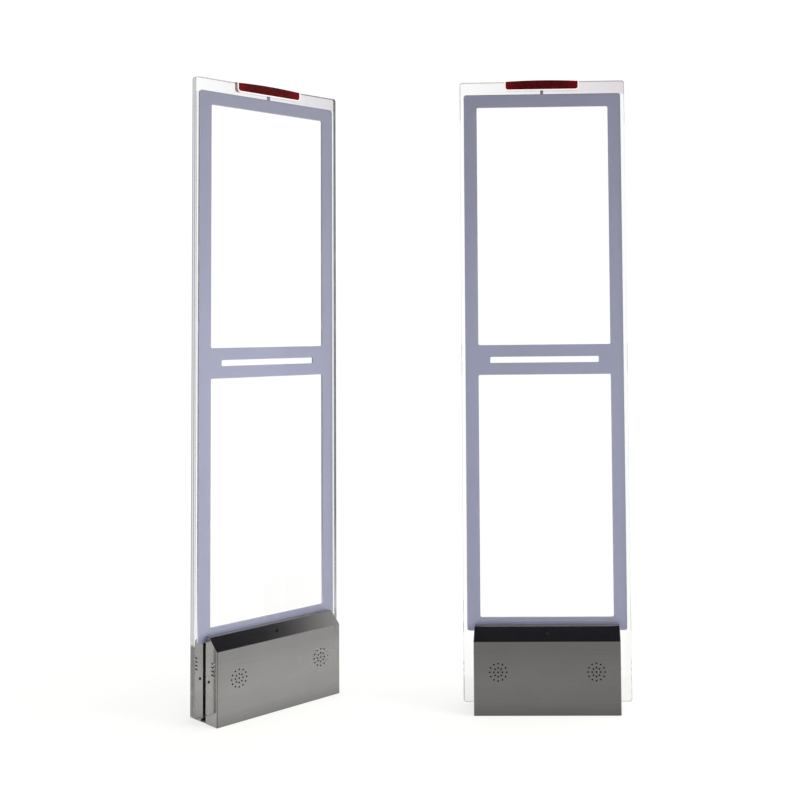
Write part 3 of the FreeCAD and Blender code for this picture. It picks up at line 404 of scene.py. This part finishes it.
def acrylic(pedestal):
    """Polished clear sheet: bonded faces vanish, sawn rims are milky."""
    s = material_nodes(pedestal.side + "_acrylic", pedestal)
    y = s.part(s.place(), "Y")
    geometry = s.node("ShaderNodeNewGeometry").outputs
    facing = s.math("ABSOLUTE", s.vector("DOT_PRODUCT", geometry["True Normal"], tuple(pedestal.through)))
    is_rim = s.remap(facing, 0.05, 0.5, 1.0, 0.0)
    head_on = s.math("ABSOLUTE", s.vector("DOT_PRODUCT", geometry["True Normal"], geometry["Incoming"]))
    smudge = s.noise(s.place(), 5.0, 4.0, 0.6)
    saw_marks = s.noise(s.stretched(90, 1500, 90), 1.0, 2.0, 0.6)
    rough = s.math("ADD", s.remap(smudge, 0.45, 0.8, 0.0, 0.02), s.math("MULTIPLY", is_rim, 0.03))
    bumped = s.bump(saw_marks, s.math("MULTIPLY", is_rim, 0.12), 0.2 * MM)
    glass = s.principled(Base_Color=acrylic_tint(s), Roughness=rough, IOR=1.49, Transmission_Weight=1.0,
                         Normal=bumped)
    at_rim = s.math("MULTIPLY", is_rim, s.remap(head_on, 0.08, 0.35, 0.0, 0.85))
    at_rim = s.math("MULTIPLY", at_rim, s.remap(s.part(s.place(), "Z"), *BELOW_FRAME, 0.25, 1.0))
    glass = s.mix_shaders(at_rim, glass, rim_shader(s, y))
    at_bond = s.math("LESS_THAN", s.math("ABSOLUTE", y), BOND_DEPTH)
    body = s.mix_shaders(at_bond, glass, s.transparent(WHITE))
    return s.finish_piece(s.mix_shaders(s.ray("Is Shadow Ray"), body, s.transparent(ACRYLIC_SHADE)))


def frame_plastic(pedestal):
    """Satin grey-lavender plastic of the coil trays, with painted shade making it a little darker towards
    the top.
    """
    s = material_nodes(pedestal.side + "_frame_plastic", pedestal)
    # painted shade, deepening towards the top
    height = s.remap(s.part(s.place(), "Z"), *FRAME_FADE, 0.0, 1.0)
    cloud = s.noise(s.place(), 3.0, 3.0, 0.55)
    drift = s.math("ADD", height, s.remap(cloud, 0.3, 0.7, -0.10, 0.10))
    colour = s.blend(drift, FRAME_GREY_LOW, FRAME_GREY_SHADED_TOP)
    speck = s.noise(s.place(), 900.0, 2.0, 0.5)
    colour = s.blend(s.remap(speck, 0.35, 0.65, 0.0, 0.06), colour, (0.5, 0.52, 0.68))
    rough = s.remap(s.noise(s.place(), 40.0, 3.0), 0.3, 0.7, 0.42, 0.55)
    return s.finish_piece(s.principled(Base_Color=colour, Roughness=rough,
                                       Normal=s.bump(speck, 0.25, 0.1 * MM)))


def lens_plastic(pedestal):
    """Deep red translucent lens plastic, faintly mottled, with painted light making it brighter at its two
    ends.
    """
    s = material_nodes(pedestal.side + "_lens_plastic", pedestal)
    mottle = s.noise(s.place(), 160.0, 3.0, 0.6)
    # painted light: paler red towards the lens's two ends
    painted_light_at_ends = s.remap(s.math("ABSOLUTE", s.part(s.place(), "X")), *LENS_ENDS, 0.0, 0.6)
    paleness = s.math("ADD", painted_light_at_ends, s.remap(mottle, 0.35, 0.7, 0.0, 0.7))
    colour = s.blend(paleness, LENS_RED, LENS_RED_LIT)
    lens = s.principled(Base_Color=colour, Roughness=0.12, IOR=1.5, Specular_IOR_Level=0.02,
                        Transmission_Weight=0.2, Normal=s.bump(mottle, 0.15, 0.4 * MM))
    return s.finish_piece(s.mix_shaders(s.ray("Is Shadow Ray"), lens, s.transparent(LENS_SHADE)))


def gasket_silicone(pedestal):
    """Milky, faintly pink silicone with a painted glow, as if lit from behind."""
    s = material_nodes(pedestal.side + "_gasket_silicone", pedestal)
    grain = s.noise(s.place(), 300.0, 2.0)
    colour = s.blend(s.remap(grain, 0.3, 0.7, 0.0, 1.0), (0.93, 0.80, 0.82), (0.97, 0.90, 0.91))
    skin = s.principled(Base_Color=colour, Roughness=0.35, IOR=1.41, Normal=s.bump(grain, 0.1, 0.2 * MM))
    # painted glow: the silicone gives off light of its own colour
    return s.finish_piece(s.mix_shaders(0.6, skin, s.emission(colour, 0.95)))


def brushed_steel(pedestal):
    """Stainless sheet, finely brushed lengthwise, with soft smudges, a few scratches and painted shade
    darkening its faces at the foot and the top.
    """
    s = material_nodes(pedestal.side + "_brushed_steel", pedestal)
    normal = s.node("ShaderNodeNewGeometry").outputs["Normal"]
    is_lip = s.remap(s.part(normal, "Z"), 0.93, 0.97, 0.0, 1.0)
    grain = s.pick(is_lip, s.noise(s.stretched(7, 7, 2600), 1.0, 3.0, 0.65),
                   s.noise(s.stretched(7, 2600, 7), 1.0, 3.0, 0.65))
    bands = s.noise(s.stretched(2.5, 2.5, 520), 1.0, 2.0, 0.5)
    smudge = s.noise(s.place(), 9.0, 4.0, 0.6, 0.6)
    waves = s.node("ShaderNodeTexWave", {"Vector": s.stretched(14, 14, 60), "Scale": 1.0,
                                         "Distortion": 14.0, "Detail": 3.0, "Detail Scale": 1.2},
                   wave_type="BANDS", bands_direction="Z").outputs[1]
    height = s.remap(s.part(s.place(), "Z"), 0.0, FACE_HEIGHT, 0.0, 1.0)
    scratch = s.remap(waves, 0.995, 1.0, 0.0, 0.12)
    rough = s.math("ADD", s.remap(grain, 0.3, 0.7, 0.12, 0.16), s.remap(smudge, 0.45, 0.75, 0.0, 0.03))
    tone = s.math("ADD", s.remap(grain, 0.25, 0.75, 0.965, 1.035), s.remap(bands, 0.3, 0.7, -0.02, 0.02))
    tone = s.math("ADD", tone, s.remap(smudge, 0.35, 0.75, 0.03, -0.04))
    # painted shade: the faces darken towards the foot and the top
    tone = s.math("MULTIPLY", s.math("ADD", tone, scratch), s.ramp(height, FACE_PAINTED_SHADES))
    along = s.vector("ADD", s.vector("CROSS_PRODUCT", tuple(UP), normal), tuple(pedestal.across * MM))
    across_grain = s.vector("NORMALIZE", s.vector("CROSS_PRODUCT", normal, along))
    return s.finish_piece(s.principled(Base_Color=s.scaled(STEEL, tone), Metallic=1.0, Roughness=rough,
                                       Anisotropic=0.70, Tangent=across_grain,
                                       Normal=s.bump(grain, 0.04, 0.03 * MM)))


# --- materials of what the covers hide ------------------------------------------
def coated(name, colour, rough=0.5, shine=0.5):
    """Painted or moulded surface with a fine orange-peel skin."""
    s = material_nodes(name)
    peel = s.noise(s.place(), 700.0, 2.0, 0.5)
    cloud = s.noise(s.place(), 25.0, 3.0)
    paler = tuple(min(1.0, c * 1.5 + 0.008) for c in colour)
    tone = s.blend(s.remap(cloud, 0.3, 0.75, 0.0, 1.0), colour, paler)
    roughness = s.remap(cloud, 0.3, 0.7, rough - 0.08, rough + 0.08)
    return s.finish_piece(s.principled(Base_Color=tone, Roughness=roughness, Specular_IOR_Level=shine,
                                       Normal=s.bump(peel, 0.3, 0.1 * MM)))


def plated(name, colour, rough=0.3):
    """Plated or bare metal with cloudy crystals."""
    s = material_nodes(name)
    crystals = s.node("ShaderNodeTexVoronoi", {"Vector": s.place(), "Scale": 160.0})
    value = s.node("ShaderNodeSeparateColor", {0: crystals.outputs["Color"]}).outputs[0]
    darker = tuple(c * 0.72 for c in colour)
    return s.finish_piece(s.principled(Base_Color=s.blend(value, darker, colour), Metallic=1.0,
                                       Roughness=s.remap(value, 0.0, 1.0, rough - 0.05, rough + 0.15),
                                       Normal=s.bump(s.noise(s.place(), 400.0), 0.1, 0.1 * MM)))


def solder_mask(pedestal):
    """Green circuit board with a pattern of tracks and tinned pads."""
    s = material_nodes(pedestal.side + "_solder_mask", pedestal)
    tracks = s.node("ShaderNodeTexBrick", {"Vector": s.stretched(1, 0, 1), "Scale": 120.0,
                                           "Mortar Size": 0.06, "Bias": 0.0, "Brick Width": 0.9,
                                           "Row Height": 0.35}).outputs["Fac"]
    pads = s.node("ShaderNodeTexVoronoi", {"Vector": s.place(), "Scale": 230.0}).outputs["Distance"]
    is_pad = s.remap(pads, 0.16, 0.20, 1.0, 0.0)
    green = s.blend(tracks, (0.006, 0.070, 0.028), (0.012, 0.135, 0.050))
    colour = s.blend(is_pad, green, (0.62, 0.60, 0.55))
    return s.finish_piece(s.principled(Base_Color=colour, Metallic=is_pad, Roughness=0.32,
                                       Normal=s.bump(tracks, 0.2, 0.05 * MM)))


def laminations(pedestal):
    """Stacked core steel: thin dark lines between the sheets."""
    s = material_nodes(pedestal.side + "_laminations", pedestal)
    lines = s.node("ShaderNodeTexWave", {"Vector": s.place(), "Scale": 320.0, "Distortion": 0.4},
                   wave_type="BANDS", bands_direction="Y").outputs[1]
    rust = s.noise(s.place(), 60.0, 4.0, 0.6)
    colour = s.blend(s.remap(lines, 0.1, 0.5, 0.0, 1.0), (0.03, 0.03, 0.03), (0.20, 0.19, 0.18))
    colour = s.blend(s.remap(rust, 0.55, 0.75, 0.0, 0.5), colour, (0.12, 0.06, 0.03))
    return s.finish_piece(s.principled(Base_Color=colour, Metallic=0.8, Roughness=0.45,
                                       Normal=s.bump(lines, 0.4, 0.1 * MM)))


def winding_tape(pedestal):
    """Amber tape round the transformer's winding, wrapped in turns."""
    s = material_nodes(pedestal.side + "_winding_tape", pedestal)
    turns = s.node("ShaderNodeTexWave", {"Vector": s.place(), "Scale": 60.0, "Distortion": 0.8},
                   wave_type="BANDS", bands_direction="Z").outputs[1]
    colour = s.blend(turns, (0.42, 0.20, 0.03), (0.62, 0.36, 0.07))
    return s.finish_piece(s.principled(Base_Color=colour, Roughness=0.25, Coat_Weight=0.4,
                                       Normal=s.bump(turns, 0.3, 0.2 * MM)))


def paper_cone(pedestal):
    """Pressed paper of the speaker cones, with fibres."""
    s = material_nodes(pedestal.side + "_paper_cone", pedestal)
    fibres = s.noise(s.place(), 1400.0, 4.0, 0.7, 1.5)
    colour = s.blend(fibres, (0.005, 0.005, 0.005), (0.02, 0.02, 0.019))
    return s.finish_piece(s.principled(Base_Color=colour, Roughness=0.85,
                                       Normal=s.bump(fibres, 0.5, 0.1 * MM)))


# --- dressing the CAD pieces ----------------------------------------------------
def dress(piece, material):
    """Give a CAD piece one material."""
    piece.data.materials.clear()
    piece.data.materials.append(material)
    for polygon in piece.data.polygons:
        polygon.material_index = 0


def paint(pedestal, name, material, chosen):
    """Add a material to the faces whose middle, in local millimetres, is chosen."""
    mesh = pedestal.node(name).data
    mesh.materials.append(material)
    index = len(mesh.materials) - 1
    for polygon in mesh.polygons:
        if chosen(*pedestal.local(polygon.center)):
            polygon.material_index = index


def within(limits):
    """Test of a local point against x, y and z limits."""
    return lambda *point: all(low < value < high for value, (low, high) in zip(point, limits))


def is_winding(x, y, z):
    """Whether a point of the transformer is on its winding: out of the iron's faces or in its slots."""
    in_slot = SLOT_X[0] < abs(x - TRANSFORMER_X) < SLOT_X[1]
    stands_out = abs(y - TRANSFORMER_Y) > TRANSFORMER_HALF_DEPTH
    return WINDING_Z[0] < z < WINDING_Z[1] and (stands_out or in_slot)


def is_cone(x, y, z):
    """Whether a point of the speakers is on a cone or on the basket round it."""
    return y < CONE_REAR and math.hypot(abs(x) - SPEAKER_X, z - SPEAKER_Z) < CONE_RADIUS


def dress_pedestal(pedestal):
    """Materials for every piece of one pedestal."""
    side = pedestal.side
    clear = acrylic(pedestal)
    steel = brushed_steel(pedestal)
    tray = frame_plastic(pedestal)
    coat = coated(side + "_black_coat", NEAR_BLACK)
    rubber = coated(side + "_rubber", RUBBER_BLACK, 0.75)
    zinc = plated(side + "_zinc", ZINC)
    copper = plated(side + "_copper", COPPER, 0.35)
    black = coated(side + "_black_oxide", NEAR_BLACK, 0.35)
    screw = coated(side + "_screw_black", NEAR_BLACK, 0.35, 0.1)
    board = solder_mask(pedestal)
    cream = coated(side + "_cream_plastic", CREAM, 0.4)
    looks = {
        "front_sheet": clear, "rear_sheet": clear, "front_coil_tray": tray, "rear_coil_tray": tray,
        "upper_coil": copper, "lower_coil": copper, "coil_leads": rubber,
        "lamp_lens": lens_plastic(pedestal), "lamp_gasket": gasket_silicone(pedestal), "lamp_board": board,
        "lamp_lead": coated(side + "_grey_cable", LEAD_GREY),
        "base_frame": coat, "clamp_bar": coat, "speaker_brackets": coat,
        "clamp_pads": rubber, "setting_blocks": rubber, "clamp_bolts": zinc,
        "front_cover": steel, "rear_cover": steel, "front_cover_screws": screw, "rear_cover_screws": screw,
        "speakers": black, "main_board": board, "board_components": zinc,
        "power_supply": plated(side + "_case_zinc", CASE_ZINC, 0.32),
        "transformer": laminations(pedestal), "power_switch": black,
        "power_rocker": coated(side + "_rocker", SWITCH_RED, 0.3),
        "sensitivity_knob": cream, "volume_knob": cream,
    }
    for name, material in looks.items():
        dress(pedestal.node(name), material)
    paint_electronics(pedestal, black, zinc, cream)


def paint_electronics(pedestal, black, zinc, cream):
    """Tell apart the parts that are one CAD piece each: board parts, transformer, speakers."""
    side = pedestal.side
    sleeve = coated(side + "_capacitor_sleeve", SLEEVE_BLUE, 0.3)
    trimmer = coated(side + "_trimmer_blue", TRIMMER_BLUE, 0.35)
    terminal = coated(side + "_terminal_green", TERMINAL_GREEN, 0.4)
    for kind, material in (("heat_sink", black), ("capacitor_sleeves", sleeve), ("trimmers", trimmer),
                           ("chips", black), ("terminals", terminal), ("relay", cream)):
        paint(pedestal, "board_components", material, within(BOARD_PARTS[kind]))
    paint(pedestal, "transformer", winding_tape(pedestal), is_winding)
    paint(pedestal, "speakers", paper_cone(pedestal), is_cone)
    paint(pedestal, "speakers", zinc, lambda x, y, z: y > MAGNET_FRONT)


# --- wiring and welds inside the feet -------------------------------------------
def strand(pedestal, name, points, radius, material, swell=None):
    """Round strand through local points, riding with the pedestals."""
    curve = bpy.data.curves.new(name, "CURVE")
    curve.dimensions = "3D"
    curve.bevel_depth = radius * MM
    curve.bevel_resolution = 3
    curve.use_fill_caps = True
    spline = curve.splines.new("NURBS")
    spline.points.add(len(points) - 1)
    for index, (knot, point) in enumerate(zip(spline.points, points)):
        knot.co = (*pedestal.point(*point), 1.0)
        knot.radius = swell(index) if swell else 1.0
    spline.order_u = min(4, len(points))
    spline.use_endpoint_u = True
    curve.materials.append(material)
    piece = bpy.data.objects.new(pedestal.side + "_" + name, curve)
    bpy.context.scene.collection.objects.link(piece)
    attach(piece, ROOT_BODY)


def wire_up(pedestal):
    """Supply cable and its cores, the speaker leads, the transformer's leads and the mains cable."""
    colours = {name: coated(pedestal.side + "_wire_" + name, colour, 0.35)
               for name, colour in WIRE_COLOURS.items()}
    strand(pedestal, "entry_cable", [(0, -38, 1), (0, -38, 6), (0, -38.5, 11), (0, -39.5, 16)], 3.6,
           colours["grey"])
    for core, (colour, x) in enumerate(CORE_COLOURS):
        points = [(core - 1.5, -39.5, 15), (x * 0.4, -41, 20), (x, -46, 22), (x, -47, PORT_Z),
                  (x, PORT_Y, PORT_Z)]
        strand(pedestal, "core_" + colour, points, WIRE_RADIUS, colours[colour])
    for side, ports in ((-1, (-57.5, -52.5)), (1, (2.5, 7.5))):
        for colour, port, lift in (("red", ports[0], 0), ("black", ports[1], 2.2)):
            points = [(side * 112, -41, 89 + lift), (side * 106, -38, 78 + lift),
                      (side * 92, -38, 58 + lift), (side * 74, -45, 50 + lift),
                      (side * 40 + port * 0.4, -50, 49 + lift), (port, -49, 43), (port, -46, PORT_Z),
                      (port, PORT_Y, PORT_Z)]
            name = "speaker_lead_" + ("left_" if side < 0 else "right_") + colour
            strand(pedestal, name, points, WIRE_RADIUS, colours[colour])
    for index, colour in enumerate(("yellow", "blue", "red")):
        rise = 4 * index
        points = [(72, 48.5, 40 + rise), (66, 54, 43 + rise), (48, 52, 50 + rise), (30, 45, 56 + rise),
                  (17.5, 40, 58 + rise)]
        strand(pedestal, "transformer_lead_" + colour, points, 1.0, colours[colour])
    points = [(-60, 27.5, 9), (-60, 22, 9), (-40, 20.5, 8.6), (120, 20.5, 8.6), (156, 22, 8.6),
              (163.2, 18, 8.6), (163.2, 0, 8.6), (163.2, -16, 8.6), (158, -25, 9.5), (130, -26, 10),
              (60, -28, 9.5), (14, -37, 9.5), (7, -38, 6), (7, -38, 1)]
    strand(pedestal, "mains_cable", points, 2.6, colours["black"])


def weld(pedestal, name, start, end, material):
    """Rippled weld bead between two local points."""
    start, end = Vector(start), Vector(end)
    count = max(8, int((end - start).length / WELD_STEP))
    points = [tuple(start.lerp(end, k / (count - 1))) for k in range(count)]
    strand(pedestal, name, points, WELD_RADIUS, material, lambda k: 1.05 if k % 2 else 0.8)


def weld_up(pedestal):
    """Beads where the upright and the ears stand on the base plate."""
    bead = coated(pedestal.side + "_weld", WELD_GREY, 0.4)
    for number, x in enumerate((-120, -40, 40, 120)):
        weld(pedestal, f"upright_weld_{number}", (x - 16, 16.3, WELD_RISE), (x + 16, 16.3, WELD_RISE), bead)
    for x in (-166.2, 166.2):
        for y in (-25, 25):
            name = "ear_weld_" + ("l" if x < 0 else "r") + ("f" if y < 0 else "b")
            weld(pedestal, name, (x, y - 8, WELD_RISE), (x, y + 8, WELD_RISE), bead)


# --- studio ---------------------------------------------------------------------
def studio_light(nodes, way):
    """What a mirror sees in a direction: dim in front, dark overhead but for the bank."""
    wall = nodes.remap(nodes.part(way, "Y"), *FRONT_TO_SIDE, FRONT_LIGHT, SIDE_LIGHT, True)
    low = nodes.remap(nodes.part(way, "Z"), *LOW_TO_OVERHEAD, 1.0, 0.0, True)
    bank = nodes.remap(nodes.vector("DOT_PRODUCT", way, BANK_WAY), *BANK_EDGE, 0.0, 1.0)
    return nodes.blend(nodes.math("MAXIMUM", low, bank), OVERHEAD_LIGHT, nodes.scaled(WHITE, wall))


def floor_surface():
    """Plain pale floor that melts into the white surroundings; mirrors see the studio in it."""
    s = material_nodes("pale_floor")
    cloud = s.noise(s.place(), 3.0, 4.0)
    pale = s.blend(s.remap(cloud, 0.3, 0.7, 0.0, 1.0), (0.91, 0.91, 0.91), (0.93, 0.93, 0.93))
    matt = s.node("ShaderNodeBsdfDiffuse", {"Color": pale}).outputs[0]
    out = s.vector("LENGTH", s.stretched(1, 1, 0))
    melt = s.remap(out, FLOOR_NEAR, FLOOR_FAR, FLOOR_GLOW, 1.0, True)
    plain = s.mix_shaders(melt, matt, s.emission(WHITE, BACKDROP))
    incoming = s.node("ShaderNodeNewGeometry").outputs["Incoming"]
    mirrored = s.emission(studio_light(s, s.scaled(incoming, -1.0)), 1.0)
    material = s.finish(s.mix_shaders(s.is_reflected(), plain, mirrored))
    material.cycles.emission_sampling = "NONE"
    return material


def make_floor():
    """Round floor under the object."""
    bpy.ops.mesh.primitive_circle_add(vertices=96, radius=FLOOR_RADIUS, fill_type="NGON",
                                      location=(0, 0, 0))
    floor = bpy.context.object
    floor.name = "floor"
    floor.data.materials.append(floor_surface())


def make_world():
    """White surroundings, softly brighter on the right; mirrors see the studio instead."""
    world = bpy.data.worlds.new("studio")
    bpy.context.scene.world = world
    nodes = Nodes(world)
    way = nodes.node("ShaderNodeTexCoord").outputs["Generated"]
    rightward = nodes.remap(nodes.part(way, "X"), -1.0, 1.0, 0.0, 1.0)
    lights_matt = nodes.math("MINIMUM", nodes.ray("Diffuse Depth"), 1.0)
    seen = nodes.blend(lights_matt, (BACKDROP,) * 3, nodes.blend(rightward, LEFT_LIGHT, RIGHT_LIGHT))
    colour = nodes.blend(nodes.is_reflected(), seen, studio_light(nodes, way))
    nodes.finish(nodes.node("ShaderNodeBackground", {"Color": colour}).outputs[0])
    world.cycles.sampling_method = "NONE"   # light-path tricks need every ray traced


def area_light(name, place, aim, size, power, colour):
    """Soft square light aimed at a point, unseen in mirrors and glass."""
    data = bpy.data.lights.new(name, "AREA")
    data.size = size
    data.energy = power
    data.color = colour
    light = bpy.data.objects.new(name, data)
    bpy.context.scene.collection.objects.link(light)
    light.location = place
    light.rotation_mode = "QUATERNION"
    light.rotation_quaternion = (Vector(aim) - Vector(place)).to_track_quat("-Z", "Y")
    light.visible_camera = False
    light.visible_glossy = False
    light.visible_transmission = False


def shift_lens(camera, reference, channel, shift):
    """Lens shift that holds only while the camera stands at its reference place."""
    curve = camera.data.driver_add(channel)
    curve.driver.type = "SUM"
    distance = curve.driver.variables.new()
    distance.type = "LOC_DIFF"
    distance.targets[0].id = camera
    distance.targets[1].id = reference
    for modifier in list(curve.modifiers):
        curve.modifiers.remove(modifier)
    for away, value in ((0.0, shift), (SHIFT_REACH, shift), (2 * SHIFT_REACH, 0.0)):
        curve.keyframe_points.insert(away, value).interpolation = "LINEAR"


def make_camera():
    """Camera at the reference view."""
    data = bpy.data.cameras.new("camera")
    data.sensor_width = 36.0
    data.lens = CAMERA_LENS
    camera = bpy.data.objects.new("camera", data)
    reference = bpy.data.objects.new("camera_reference", None)
    for thing in (camera, reference):
        bpy.context.scene.collection.objects.link(thing)
        thing.location = CAMERA_PLACE
    yaw, pitch = math.radians(CAMERA_YAW), math.radians(CAMERA_PITCH)
    ahead = Vector((-math.sin(yaw) * math.cos(pitch), math.cos(yaw) * math.cos(pitch), math.sin(pitch)))
    camera.rotation_mode = "QUATERNION"
    camera.rotation_quaternion = ahead.to_track_quat("-Z", "Y") @ Quaternion(UP, math.radians(CAMERA_ROLL))
    for channel, shift in LENS_SHIFT.items():
        shift_lens(camera, reference, channel, shift)
    bpy.context.scene.camera = camera


for side in SIDES:
    pedestal = Pedestal(side)
    dress_pedestal(pedestal)
    wire_up(pedestal)
    weld_up(pedestal)
make_floor()
make_world()
area_light("key", **KEY_LIGHT)
make_camera()
bpy.context.scene.view_settings.view_transform = "Standard"
bpy.context.scene.cycles.transparent_max_bounces = 24
